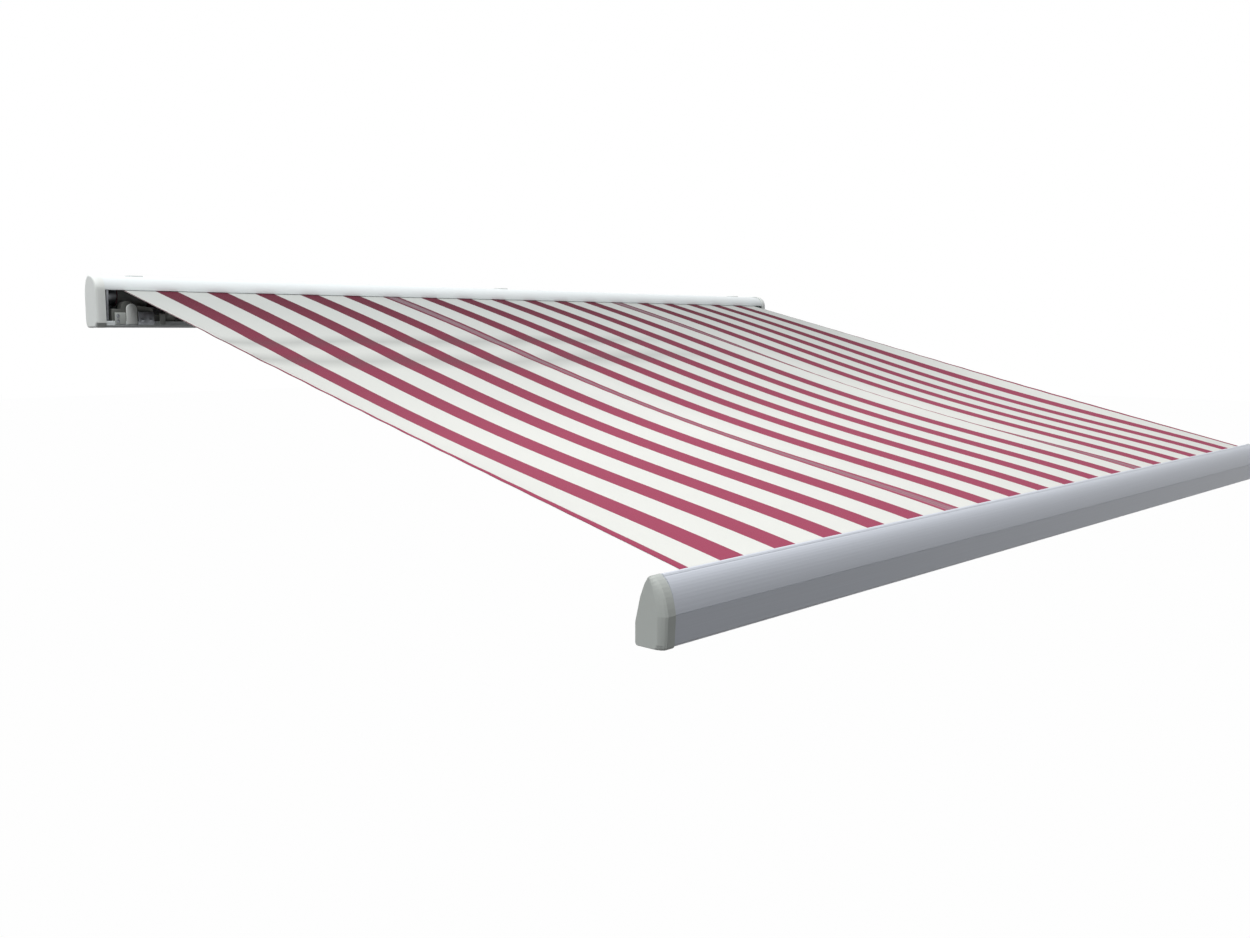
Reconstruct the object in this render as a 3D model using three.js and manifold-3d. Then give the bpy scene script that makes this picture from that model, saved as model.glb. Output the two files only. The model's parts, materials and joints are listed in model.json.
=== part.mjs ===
// Folding arm awning in a full cassette, opened out from a wall.
// Millimetres. X runs along the wall, +Y points into the wall, +Z is up.
// The origin is the middle of the centre bracket's flat wall face.
import * as THREE from 'three';
import { mergeVertices } from 'three/addons/utils/BufferGeometryUtils.js';
import Module from 'manifold-3d';

const wasm = await Module();
wasm.setup();

// Cloth
const panelWidth = 1200;
const stripesPerPanel = 7;
const stripePitch = panelWidth / stripesPerPanel;
const redWidth = 72;
const stripeCount = 18;
const plainMargin = 102;
const clothThickness = 1.2;
const fabricWidth = (stripeCount - 1) * stripePitch + redWidth + 2 * plainMargin;
const sagDepth = 34;
const sagPeakShift = 1.3;
const sagSharpness = 1.5;
const hemReach = 120;
const hemTightness = 0.85;
const seamPucker = 7;
const seamStripes = [5, 12];
const clothRows = 20;

// Steps along each drawn curve
const curveSegments = 6;

// Fits between neighbouring pieces
const seatGap = 0.3;
const runningGap = 0.4;

// Cassette
const bracketDepth = 12;
const cassetteDepth = 130;
const cassetteHeight = 159;
const mouthMargin = 60;
const capBand = 29;
const hoodRise = 43.5;
const hoodNose = 52;
const hoodBackRadius = 33;
const wall = 2.4;
const trayLipHeight = 18.5;
const trayLipFace = 11;
const trayBackRadius = 8;
const capProud = 4;
const capWall = 3;

// Wall brackets
const bracketWidth = 40;
const bracketInset = 160;
const hookReach = 66;
const hookThickness = 4;
const footReach = 38;
const footRecess = 9;
const clampHeadHeight = 3.5;
const boltHole = 11;
const boltSpacing = 100;
const clampScrewRadius = 4;

// Roller
const rollerRadius = 31.5;
const rollerWall = 1.6;
const rollerFromWall = 54;
const rollerHeight = 20;
const rollerEndGap = 30;
const kederRadius = 2.2;
const motorRadius = 22.5;
const motorLength = 560;
const driveShaft = 6;
const motorSocket = 14;
const axlePinRadius = 7;
const bearingPlateThickness = 6;
const bearingPlateInset = 12;

// Arms
const armReach = 1233;
const restAngle = 14;
const shoulderInset = 279;
const shoulderFromFront = 25;
const shoulderDrop = 62;
const elbowOffset = 18;
const upperWidth = 34;
const upperHeight = 44;
const forearmWidth = 32;
const forearmHeight = 40;
const armWall = 3;
const pinRadius = 6;
const shoulderBarrel = 17;
const elbowBarrel = 16;
const frontBarrel = 15;
const lugThickness = 9;
const consoleFront = 12;
const consoleWidth = 24;
const knuckleBlockStart = 24;
const knuckleBlockLength = 28;
const spigotLength = 32;
const tongueHeight = 18;
const earShoulder = 6.5;
const springRadius = 9;
const springLength = 420;
const springRidges = 16;

// Front bar, placed from the edge where the cloth goes in
const barDrop = 558;
const barOverhang = 22;
const barCapWrap = 32;
const barHeight = 129;
const barFront = 40;
const barBack = 28;
const barCrease = 65;
const barMouthTop = 22;
const barMouthBottom = 100;
const rodRadius = 3;
const headRadius = 7.5;
const frontPivotBack = -13.6;
const frontPivotDrop = 68;

// Places worked out from the sizes above
const radians = Math.PI / 180;
const halfHeight = cassetteHeight / 2;
const mouthY = -(bracketDepth + cassetteDepth);
const backY = -bracketDepth;
const lipZ = halfHeight - hoodRise;
const trayLipTop = -halfHeight + trayLipHeight;
const mouthHalf = fabricWidth / 2 + mouthMargin;
const cassetteHalf = mouthHalf + capBand;
const rollerY = -rollerFromWall;
const rollerZ = rollerHeight;
const rollerHalf = mouthHalf - rollerEndGap;
const wrapRadius = rollerRadius + seatGap + clothThickness;
const clothRadius = wrapRadius + seatGap + clothThickness / 2;

const shoulder = new THREE.Vector3(0, mouthY + shoulderFromFront, lipZ - shoulderDrop + 6.1);
const shoulderX = cassetteHalf - shoulderInset;
const armSpan = 2 * armReach * Math.cos(restAngle * radians);
const barEdgeZ = lipZ - barDrop;
const armPitch = Math.asin((shoulder.z - (barEdgeZ - frontPivotDrop)) / armSpan);
const pivotFront = new THREE.Vector3(
  0,
  shoulder.y - armSpan * Math.cos(armPitch),
  shoulder.z - armSpan * Math.sin(armPitch),
);
const barEdge = new THREE.Vector3(0, pivotFront.y - frontPivotBack, pivotFront.z + frontPivotDrop);
const barHalf = cassetteHalf + barOverhang;
const armBodyLength = Math.sqrt(armReach ** 2 - elbowOffset ** 2);
const armSkew = Math.asin(elbowOffset / armReach);

// The cloth leaves the top of the roll on a tangent that ends at the bar's edge
const toEdge = new THREE.Vector2(rollerY - barEdge.y, rollerZ - barEdge.z);
const clothPitch = Math.atan2(toEdge.y, toEdge.x) + Math.asin(clothRadius / toEdge.length());
const clothStart = new THREE.Vector2(
  rollerY - clothRadius * Math.sin(clothPitch),
  rollerZ + clothRadius * Math.cos(clothPitch),
);
const clothLength = Math.sqrt(toEdge.lengthSq() - clothRadius ** 2);
const grooveCentre = new THREE.Vector2(
  barEdge.y - headRadius * Math.cos(clothPitch),
  barEdge.z - headRadius * Math.sin(clothPitch),
);

// Finishes
const finish = (color, roughness, metalness) => new THREE.MeshStandardMaterial({ color, roughness, metalness });
const whitePaint = () => finish(0xf3f4f3, 0.35, 0.1);
const whitePlastic = () => finish(0xeef0ee, 0.45, 0);
const silver = () => finish(0xc9ced6, 0.35, 0.8);
const greyPlastic = () => finish(0xb9bcc0, 0.5, 0);
const castGrey = () => finish(0xc4c7c6, 0.5, 0.4);
const steel = () => finish(0x8d9095, 0.4, 0.9);
const darkPlastic = () => finish(0x2b2d30, 0.6, 0);
const zinc = () => finish(0x9fa4a8, 0.45, 0.9);
const clothRed = new THREE.Color(0xa3506a);
const clothWhite = new THREE.Color(0xe9eae6);

// Solids
function toSolid(geometry) {
  const bare = geometry.clone();
  bare.deleteAttribute('normal');
  bare.deleteAttribute('uv');
  const merged = mergeVertices(bare, 1e-4);
  const vertProperties = Float32Array.from(merged.attributes.position.array);
  const triVerts = Uint32Array.from(merged.index.array);
  return new wasm.Manifold(new wasm.Mesh({ numProp: 3, vertProperties, triVerts }));
}

function toGeometry(solid) {
  const mesh = solid.getMesh();
  const geometry = new THREE.BufferGeometry();
  geometry.setAttribute('position', new THREE.BufferAttribute(Float32Array.from(mesh.vertProperties), 3));
  geometry.setIndex(Array.from(mesh.triVerts));
  geometry.computeVertexNormals();
  return geometry;
}

function join(first, ...others) {
  let solid = toSolid(first);
  for (const other of others) solid = solid.add(toSolid(other));
  return toGeometry(solid);
}

function cut(body, ...tools) {
  let solid = toSolid(body);
  for (const tool of tools) solid = solid.subtract(toSolid(tool));
  return toGeometry(solid);
}

function common(body, tool) {
  return toGeometry(toSolid(body).intersect(toSolid(tool)));
}

// A shape drawn in (y, z) and pushed out along X
function alongX(shape, start, end) {
  const geometry = new THREE.ExtrudeGeometry(shape, { depth: end - start, bevelEnabled: false, curveSegments });
  const turn = new THREE.Matrix4().makeBasis(
    new THREE.Vector3(0, 1, 0),
    new THREE.Vector3(0, 0, 1),
    new THREE.Vector3(1, 0, 0),
  );
  return geometry.applyMatrix4(turn).translate(start, 0, 0);
}

// A shape drawn in (x, y) and pushed up along Z
function alongZ(shape, start, end) {
  const geometry = new THREE.ExtrudeGeometry(shape, { depth: end - start, bevelEnabled: false, curveSegments });
  return geometry.translate(0, 0, start);
}

// A shape drawn in (x, z) and pushed back along Y
function alongY(shape, start, end) {
  const geometry = new THREE.ExtrudeGeometry(shape, { depth: end - start, bevelEnabled: false, curveSegments });
  return geometry.rotateX(Math.PI / 2).translate(0, end, 0);
}

const outline = (points) => new THREE.Shape(points.map(([a, b]) => new THREE.Vector2(a, b)));

function rectangle(left, bottom, right, top) {
  return outline([[left, bottom], [right, bottom], [right, top], [left, top]]);
}

function disc(radius, a = 0, b = 0) {
  const steps = THREE.MathUtils.clamp(4 * Math.round(radius / 3), 12, 40);
  return outline(arcPoints(a, b, radius, radius, 0, 360, steps).slice(1));
}

function rounded(width, height, radius) {
  const a = width / 2 - radius;
  const b = height / 2 - radius;
  const corner = (x, y, from) => arcPoints(x, y, radius, radius, from, from + 90, 4);
  return outline([...corner(a, b, 0), ...corner(-a, b, 90), ...corner(-a, -b, 180), ...corner(a, -b, 270)]);
}

function arcPoints(centreA, centreB, radiusA, radiusB, from, to, steps) {
  const points = [];
  for (let i = 0; i <= steps; i += 1) {
    const angle = (from + ((to - from) * i) / steps) * radians;
    points.push([centreA + radiusA * Math.cos(angle), centreB + radiusB * Math.sin(angle)]);
  }
  return points;
}

// A wall of one thickness on both sides of a drawn centre line
function ribbon(path, thickness) {
  const sides = [[], []];
  for (let i = 0; i < path.length; i += 1) {
    const here = new THREE.Vector2(...path[i]);
    const before = new THREE.Vector2(...path[Math.max(i - 1, 0)]);
    const after = new THREE.Vector2(...path[Math.min(i + 1, path.length - 1)]);
    const coming = i > 0 ? here.clone().sub(before).normalize() : after.clone().sub(here).normalize();
    const going = i < path.length - 1 ? after.clone().sub(here).normalize() : coming.clone();
    const normal = new THREE.Vector2(-coming.y, coming.x);
    const mitre = normal.clone().add(new THREE.Vector2(-going.y, going.x)).normalize();
    const reach = thickness / 2 / mitre.dot(normal);
    sides[0].push([here.x + mitre.x * reach, here.y + mitre.y * reach]);
    sides[1].push([here.x - mitre.x * reach, here.y - mitre.y * reach]);
  }
  return outline([...sides[0], ...sides[1].reverse()]);
}

// Triangles that fill an outline, each turned the way the outline runs
function endFaces(points) {
  const contour = points.map(([y, z]) => new THREE.Vector2(y, z));
  const wanted = Math.sign(THREE.ShapeUtils.area(contour));
  return THREE.ShapeUtils.triangulateShape(contour, []).map(([a, b, c]) => (
    Math.sign(THREE.ShapeUtils.area([contour[a], contour[b], contour[c]])) === wanted ? [a, b, c] : [a, c, b]));
}

// A closed skin through outlines with the same number of points, one for each place along X
function loft(stations) {
  const count = stations[0].points.length;
  const positions = [];
  const index = [];
  for (const { x, points } of stations) for (const [y, z] of points) positions.push(x, y, z);
  for (let s = 0; s < stations.length - 1; s += 1) {
    for (let i = 0; i < count; i += 1) {
      const a = s * count + i;
      const b = s * count + ((i + 1) % count);
      index.push(a, b, b + count, a, b + count, a + count);
    }
  }
  const last = (stations.length - 1) * count;
  for (const [a, b, c] of endFaces(stations[0].points)) index.push(a, c, b);
  for (const [a, b, c] of endFaces(stations[stations.length - 1].points)) index.push(last + a, last + b, last + c);
  const geometry = new THREE.BufferGeometry();
  geometry.setAttribute('position', new THREE.Float32BufferAttribute(positions, 3));
  geometry.setIndex(index);
  return facingOut(geometry);
}

function facingOut(geometry) {
  const p = geometry.attributes.position;
  const order = geometry.index.array;
  const [a, b, c] = [new THREE.Vector3(), new THREE.Vector3(), new THREE.Vector3()];
  let volume = 0;
  for (let i = 0; i < order.length; i += 3) {
    a.fromBufferAttribute(p, order[i]);
    b.fromBufferAttribute(p, order[i + 1]);
    c.fromBufferAttribute(p, order[i + 2]);
    volume += a.dot(b.cross(c));
  }
  if (volume < 0) {
    for (let i = 0; i < order.length; i += 3) [order[i + 1], order[i + 2]] = [order[i + 2], order[i + 1]];
  }
  geometry.computeVertexNormals();
  return geometry;
}

const awning = new THREE.Group();

function piece(name, geometry, material, parent = awning) {
  const mesh = new THREE.Mesh(geometry, material);
  mesh.name = name;
  parent.add(mesh);
  return mesh;
}

const sides = [['left', -1], ['right', 1]];

// Wall brackets: a plate on the wall, a hook over the hood and a foot in the tray's recess
const footTop = -halfHeight + footRecess - seatGap;
const clampScrewY = backY - footReach * 0.6;
const recessY = backY - footReach - 20;

function wallBracket(x) {
  const top = halfHeight + seatGap;
  const half = bracketWidth / 2;
  const hookRadius = hoodBackRadius + seatGap;
  const front = backY + seatGap;
  const profile = outline([
    [0, footTop - hookThickness], [0, halfHeight - hoodBackRadius], [-2, halfHeight - hoodBackRadius + 6],
    ...arcPoints(backY - hoodBackRadius, halfHeight - hoodBackRadius, hookRadius + hookThickness,
      hookRadius + hookThickness, 25, 90, 6),
    [backY - hookReach + 3, top + hookThickness], [backY - hookReach, top + hookThickness - 2],
    [backY - hookReach, top],
    ...arcPoints(backY - hoodBackRadius, halfHeight - hoodBackRadius, hookRadius, hookRadius, 90, 0, 8),
    [front, footTop], [backY - footReach, footTop], [backY - footReach, footTop - hookThickness],
  ]);
  const bolts = [-1, 1].map((end) => alongY(disc(boltHole / 2, x, (end * boltSpacing) / 2), backY - 1, 1));
  const screwHole = alongZ(disc(clampScrewRadius + seatGap, x, clampScrewY), footTop - hookThickness - 1,
    footTop + 1);
  return cut(alongX(profile, x - half, x + half), ...bolts, screwHole);
}

function clampScrew(x) {
  const under = footTop - hookThickness - seatGap;
  const shank = alongZ(disc(clampScrewRadius, x, clampScrewY), under - clampHeadHeight / 2, footTop);
  return join(alongZ(disc(clampScrewRadius * 1.75, x, clampScrewY), under - clampHeadHeight, under), shank);
}

const bracketX = cassetteHalf - bracketInset;
for (const [place, x] of [['left', -bracketX], ['centre', 0], ['right', bracketX]]) {
  piece(`wall_bracket_${place}`, wallBracket(x), whitePaint());
  piece(`clamp_screw_${place}`, clampScrew(x), zinc());
}

// Housing: back, top and hood in one extruded section with a drip nose
const backSeamZ = -halfHeight + 21;

function housingPath() {
  const half = wall / 2;
  return [
    ...arcPoints(mouthY + hoodNose, lipZ, hoodNose - half, hoodRise - half, 180, 90, 14),
    ...arcPoints(backY - hoodBackRadius, halfHeight - hoodBackRadius - half, hoodBackRadius - half,
      hoodBackRadius, 90, 0, 8),
    [backY - half, backSeamZ],
  ];
}

function housing() {
  const shell = alongX(ribbon(housingPath(), wall), -mouthHalf, mouthHalf);
  const nose = alongX(rounded(5.4, 5.4, 2.4), -mouthHalf, mouthHalf).translate(0, mouthY + 2.7, lipZ + 1.6);
  const rib = alongX(ribbon([[backY - wall / 2, -22], [backY - 9, -22], [backY - 9, -28]], wall * 0.8),
    -mouthHalf, mouthHalf);
  const port = [[mouthY + hoodNose + 8, halfHeight - wall - 3.4], [backY - wall - 3.4, -5]].map(([y, z]) => {
    const ring = alongX(disc(4.6, y, z), -mouthHalf, mouthHalf);
    return { ring, hole: alongX(disc(2.4, y, z), -mouthHalf - 1, mouthHalf + 1) };
  });
  return cut(join(shell, nose, rib, ...port.map((p) => p.ring)), ...port.map((p) => p.hole));
}

piece('cassette_housing', housing(), whitePaint());

// Tray: floor of the cassette with an upright front lip and a tongue behind the housing's back wall
function tray() {
  const half = wall / 2;
  const floor = -halfHeight + half;
  const lipY = mouthY + half;
  const path = [
    [lipY, trayLipTop], [lipY, trayLipTop - trayLipFace], [lipY + 8, floor],
    [recessY, floor], [recessY + 12, floor + footRecess],
    ...arcPoints(backY - trayBackRadius - half, floor + footRecess + trayBackRadius, trayBackRadius,
      trayBackRadius, 270, 360, 5),
    [backY - half, backSeamZ - seatGap],
  ];
  const shell = alongX(ribbon(path, wall), -mouthHalf, mouthHalf);
  const bead = alongX(rounded(5, 4, 1.9), -mouthHalf, mouthHalf).translate(0, lipY + 1.2, trayLipTop);
  const tongueY = backY - wall - seatGap - wall / 2;
  const tongue = alongX(ribbon([[backY - half, backSeamZ - 8], [tongueY, backSeamZ - 5],
    [tongueY, backSeamZ + 8]], wall * 0.8), -mouthHalf, mouthHalf);
  return join(shell, bead, tongue);
}

piece('cassette_tray', tray(), whitePaint());

// End caps: a domed shell, wide at the front and tapered away behind
function capOutline({ inset, back, topBack, backZ }) {
  const front = mouthY - capProud + inset;
  const top = halfHeight + capProud - inset;
  const bottom = -halfHeight - 0.5 + inset * 0.6;
  const topFront = Math.min(mouthY + hoodNose, topBack);
  return [
    [front, trayLipTop - 4 + inset * 0.4],
    ...arcPoints(topFront, lipZ, topFront - front, top - lipZ, 180, 90, 10),
    ...arcPoints(topBack, backZ, back - topBack, top - backZ, 85, 0, 8),
    ...arcPoints(back - 18, bottom + 18, 18, 18, 0, -90, 4),
    [front + 13, bottom],
  ];
}

const capStations = [
  { depth: 0, inset: 0, back: backY - 0.5, topBack: backY - hoodBackRadius - 0.5, backZ: halfHeight - 33 },
  { depth: 0.24, inset: 0, back: backY - 9, topBack: backY - 40, backZ: halfHeight - 40 },
  { depth: 0.55, inset: 0.2, back: backY - 26, topBack: backY - 58, backZ: halfHeight - 50 },
  { depth: 0.78, inset: 1.2, back: backY - 40, topBack: backY - 74, backZ: halfHeight - 60 },
  { depth: 0.93, inset: 3.6, back: backY - 49, topBack: backY - 84, backZ: halfHeight - 66 },
  { depth: 1, inset: 7.5, back: backY - 55, topBack: backY - 88, backZ: halfHeight - 70 },
];

function endCap(side) {
  const skin = loft(capStations.map((station) => (
    { x: side * (mouthHalf + seatGap + (capBand - seatGap) * station.depth), points: capOutline(station) })));
  const hollow = loft(capStations.slice(0, 5).map((station, i) => {
    const x = i === 0 ? mouthHalf - 1 : mouthHalf + (capBand - capWall - 1) * (station.depth / 0.93);
    return {
      x: side * x,
      points: capOutline({
        inset: station.inset + capWall, back: station.back - capWall,
        topBack: station.topBack - 1, backZ: station.backZ - 1,
      }),
    };
  }));
  return cut(skin, hollow);
}

for (const [name, side] of sides) piece(`end_cap_${name}`, endCap(side), whitePlastic());

// Bearing plates stand inside the housing's ends and carry the roller
const plateX = mouthHalf - bearingPlateInset;

function bearingPlate(side) {
  const gap = wall + seatGap + 0.4;
  const shape = outline([
    ...arcPoints(mouthY + hoodNose, lipZ, hoodNose - gap - 3, hoodRise - gap - 9, 160, 90, 8),
    ...arcPoints(backY - hoodBackRadius, halfHeight - hoodBackRadius - gap - 8, hoodBackRadius - gap - 6,
      hoodBackRadius - gap, 90, 0, 5),
    [backY - 15, -halfHeight + gap + footRecess + 16], [backY - 24, -halfHeight + gap + footRecess],
    [recessY + 6, -halfHeight + gap + footRecess], [recessY - 4, -halfHeight + gap], [mouthY + 30, -halfHeight + gap],
    [mouthY + 16, -halfHeight + gap + 12],
  ]);
  const x0 = side * plateX - bearingPlateThickness / 2;
  const plate = alongX(shape, x0, x0 + bearingPlateThickness);
  const boss = alongX(disc(axlePinRadius + 9, rollerY, rollerZ), x0 - (side < 0 ? 8 : 0),
    x0 + bearingPlateThickness + (side > 0 ? 8 : 0));
  const bore = side < 0 ? axlePinRadius + 3 + seatGap : 9;
  return cut(join(plate, boss), alongX(disc(bore, rollerY, rollerZ), x0 - 20, x0 + 20));
}

for (const [name, side] of sides) piece(`bearing_plate_${name}`, bearingPlate(side), zinc());

// Roller: tube with a groove for the cloth's rod, an idler at one end and a tubular motor in the other
const grooveRadius = kederRadius + 0.4;
const grooveAt = rollerRadius - grooveRadius - 0.7;
const lobeRadius = grooveRadius + 1.6;

function rollerTube() {
  const body = alongX(disc(rollerRadius), -rollerHalf, rollerHalf);
  const bore = alongX(disc(rollerRadius - rollerWall), -rollerHalf - 1, rollerHalf + 1);
  const lobe = alongX(disc(lobeRadius, 0, -grooveAt), -rollerHalf, rollerHalf);
  const channel = alongX(disc(grooveRadius, 0, -grooveAt), -rollerHalf - 1, rollerHalf + 1);
  const slot = alongX(rectangle(-0.9, -rollerRadius - 1, 0.9, -grooveAt), -rollerHalf - 1, rollerHalf + 1);
  const tube = cut(body, bore);
  const withLobe = join(tube, common(lobe, alongX(disc(rollerRadius - 0.2), -rollerHalf, rollerHalf)));
  return cut(withLobe, channel, slot);
}

function lobeRelief(start, end) {
  return join(
    alongX(disc(lobeRadius + seatGap, 0, -grooveAt), start, end),
    alongX(rectangle(-lobeRadius - seatGap, -rollerRadius - 1, lobeRadius + seatGap, -grooveAt), start, end),
  );
}

function idlerPlug() {
  const end = -rollerHalf;
  const insert = cut(alongX(disc(rollerRadius - rollerWall - seatGap), end + seatGap, end + 60),
    lobeRelief(end - 1, end + 61));
  const flange = alongX(disc(rollerRadius), end - 4, end - seatGap);
  const neck = alongX(disc(rollerRadius - rollerWall - 7), end - 1, end + 2);
  const pin = alongX(disc(axlePinRadius), -plateX - 12, end - 2);
  return join(insert, neck, flange, pin);
}

function driveWheel() {
  const start = rollerHalf - motorLength - 34;
  const wheel = cut(alongX(disc(rollerRadius - rollerWall - seatGap), start, start + 22),
    lobeRelief(start - 1, start + 23));
  return join(wheel, alongX(disc(driveShaft), start - 4, rollerHalf - motorLength + motorSocket - seatGap));
}

function motorBody() {
  const start = rollerHalf - motorLength;
  const socket = alongX(disc(driveShaft + runningGap), start - 1, start + motorSocket);
  return cut(alongX(disc(motorRadius), start, rollerHalf - 6), socket);
}

function motorHead() {
  const start = rollerHalf - 6 + seatGap;
  const crown = alongX(disc(motorRadius), start, rollerHalf + 4);
  const head = alongX(disc(motorRadius - 4), rollerHalf + 3, plateX - bearingPlateThickness / 2 - seatGap);
  const spigot = alongX(disc(9 - seatGap), rollerHalf + 4, plateX + bearingPlateThickness / 2 + 6);
  return join(crown, head, spigot);
}

function crownRing() {
  const start = rollerHalf - 28;
  const ring = cut(alongX(disc(rollerRadius - rollerWall - seatGap), start, start + 20),
    lobeRelief(start - 1, start + 21));
  return cut(ring, alongX(disc(motorRadius + runningGap), start - 1, start + 21));
}

function bush() {
  const from = -plateX - bearingPlateThickness / 2 - 8;
  const to = -plateX + bearingPlateThickness / 2;
  return cut(alongX(disc(axlePinRadius + 3), from, to), alongX(disc(axlePinRadius + runningGap), from - 1, to + 1));
}

const roller = new THREE.Group();
roller.position.set(0, rollerY, rollerZ);
awning.add(roller);
piece('roller_tube', rollerTube(), steel(), roller);
piece('roller_keder_rod', alongX(disc(kederRadius, 0, -grooveAt), -fabricWidth / 2, fabricWidth / 2),
  darkPlastic(), roller);
piece('idler_plug', idlerPlug(), darkPlastic(), roller);
piece('idler_bush', bush(), whitePlastic(), roller);
piece('drive_wheel', driveWheel(), darkPlastic(), roller);
piece('motor_body', motorBody(), steel(), roller);
piece('motor_head', motorHead(), darkPlastic(), roller);
piece('crown_ring', crownRing(), darkPlastic(), roller);

function fabricWrap() {
  const outer = alongX(disc(wrapRadius), -fabricWidth / 2, fabricWidth / 2);
  return cut(outer, alongX(disc(rollerRadius + seatGap), -fabricWidth / 2 - 1, fabricWidth / 2 + 1));
}

piece('fabric_wrap', fabricWrap(), finish(clothWhite.getHex(), 0.9, 0), roller);

// Cloth: sewn panels in stripes, tight at the hems, slack in between and puckered at the seams
function clothOffset(x, share) {
  const toHem = fabricWidth / 2 - Math.abs(x);
  const slack = 1 - hemTightness * Math.exp(-toHem / hemReach);
  const swell = Math.sin(Math.PI * share ** sagPeakShift) ** sagSharpness;
  const half = redWidth / 2;
  let pucker = 0;
  for (const stripe of seamStripes) {
    const u = (x - stripeLeft(stripe) - half) / half;
    pucker -= seamPucker * u * Math.exp((1 - u * u) / 2);
  }
  return swell * (pucker - sagDepth * slack);
}

function stripeLeft(stripe) {
  return stripe * stripePitch - ((stripeCount - 1) * stripePitch + redWidth) / 2;
}

function clothColumns() {
  const columns = [{ x: -fabricWidth / 2, red: false }];
  for (let stripe = 0; stripe < stripeCount; stripe += 1) {
    columns.push({ x: stripeLeft(stripe), red: true });
    columns.push({ x: stripeLeft(stripe) + redWidth, red: false });
  }
  columns.push({ x: fabricWidth / 2, red: false });
  return columns;
}

function fabric() {
  const columns = clothColumns();
  const length = clothLength + headRadius - rodRadius - seatGap;
  const along = new THREE.Vector2(-Math.cos(clothPitch), -Math.sin(clothPitch));
  const up = new THREE.Vector2(-Math.sin(clothPitch), Math.cos(clothPitch));
  const point = (column, row, face) => {
    const s = (length * row) / clothRows;
    const share = Math.min(s / clothLength, 1);
    const lift = clothOffset(columns[column].x, share) + (face * clothThickness) / 2;
    return [
      columns[column].x,
      clothStart.x + along.x * s + up.x * lift,
      clothStart.y + along.y * s + up.y * lift,
    ];
  };
  const positions = [];
  const colors = [];
  const quad = (a, b, c, d, tint) => {
    for (const corner of [a, b, c, a, c, d]) {
      positions.push(...corner);
      colors.push(tint.r, tint.g, tint.b);
    }
  };
  const lastColumn = columns.length - 1;
  for (let c = 0; c < lastColumn; c += 1) {
    const tint = columns[c].red ? clothRed : clothWhite;
    for (let r = 0; r < clothRows; r += 1) {
      quad(point(c, r, 1), point(c, r + 1, 1), point(c + 1, r + 1, 1), point(c + 1, r, 1), tint);
      quad(point(c, r, -1), point(c + 1, r, -1), point(c + 1, r + 1, -1), point(c, r + 1, -1), tint);
    }
    quad(point(c, 0, 1), point(c + 1, 0, 1), point(c + 1, 0, -1), point(c, 0, -1), tint);
    quad(point(c, clothRows, 1), point(c, clothRows, -1), point(c + 1, clothRows, -1),
      point(c + 1, clothRows, 1), tint);
  }
  for (let r = 0; r < clothRows; r += 1) {
    quad(point(0, r, 1), point(0, r, -1), point(0, r + 1, -1), point(0, r + 1, 1), clothWhite);
    quad(point(lastColumn, r, 1), point(lastColumn, r + 1, 1), point(lastColumn, r + 1, -1),
      point(lastColumn, r, -1), clothWhite);
  }
  const geometry = new THREE.BufferGeometry();
  geometry.setAttribute('position', new THREE.Float32BufferAttribute(positions, 3));
  geometry.setAttribute('color', new THREE.Float32BufferAttribute(colors, 3));
  geometry.computeVertexNormals();
  return geometry;
}

const clothMaterial = finish(0xffffff, 0.95, 0);
clothMaterial.vertexColors = true;
piece('fabric', fabric(), clothMaterial);

// Shoulder consoles: a casting on the tray floor with a domed clamp lug and a fork for the arm's pin
const armTilt = new THREE.Matrix4().makeRotationX(armPitch);

function atShoulder(geometry, side) {
  return geometry.applyMatrix4(armTilt).translate(side * shoulderX, shoulder.y, shoulder.z);
}

const forkInner = shoulderBarrel - 3 + seatGap;
const forkOuter = forkInner + lugThickness;

function lugShape(radius, reach, side) {
  const edge = side * reach;
  const shape = new THREE.Shape();
  shape.moveTo(edge, -radius);
  if (side < 0) shape.absarc(0, 0, radius, -Math.PI / 2, Math.PI / 2, false);
  else shape.absarc(0, 0, radius, -Math.PI / 2, Math.PI / 2, true);
  shape.lineTo(edge, radius);
  return shape;
}

function consoleProfile(side) {
  const x = (fromPivot) => side * (shoulderX + fromPivot);
  const base = -halfHeight + wall + seatGap;
  const dome = { centre: 177, radius: 21, height: shoulder.z + 2 };
  const shape = new THREE.Shape();
  shape.moveTo(x(26), base);
  shape.lineTo(x(26), shoulder.z + forkInner);
  shape.lineTo(x(50), shoulder.z + forkInner);
  shape.lineTo(x(58), shoulder.z - 20);
  shape.lineTo(x(90), shoulder.z - 18);
  shape.lineTo(x(100), shoulder.z + 4);
  shape.lineTo(x(144), shoulder.z + 8);
  shape.lineTo(x(dome.centre - dome.radius), shoulder.z + 2);
  if (side < 0) shape.absarc(x(dome.centre), dome.height, dome.radius, 0, Math.PI, false);
  else shape.absarc(x(dome.centre), dome.height, dome.radius, Math.PI, 0, true);
  shape.lineTo(x(dome.centre + dome.radius), shoulder.z - 2);
  shape.lineTo(x(227), shoulder.z - 2);
  shape.lineTo(x(227), base);
  return shape;
}

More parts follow.
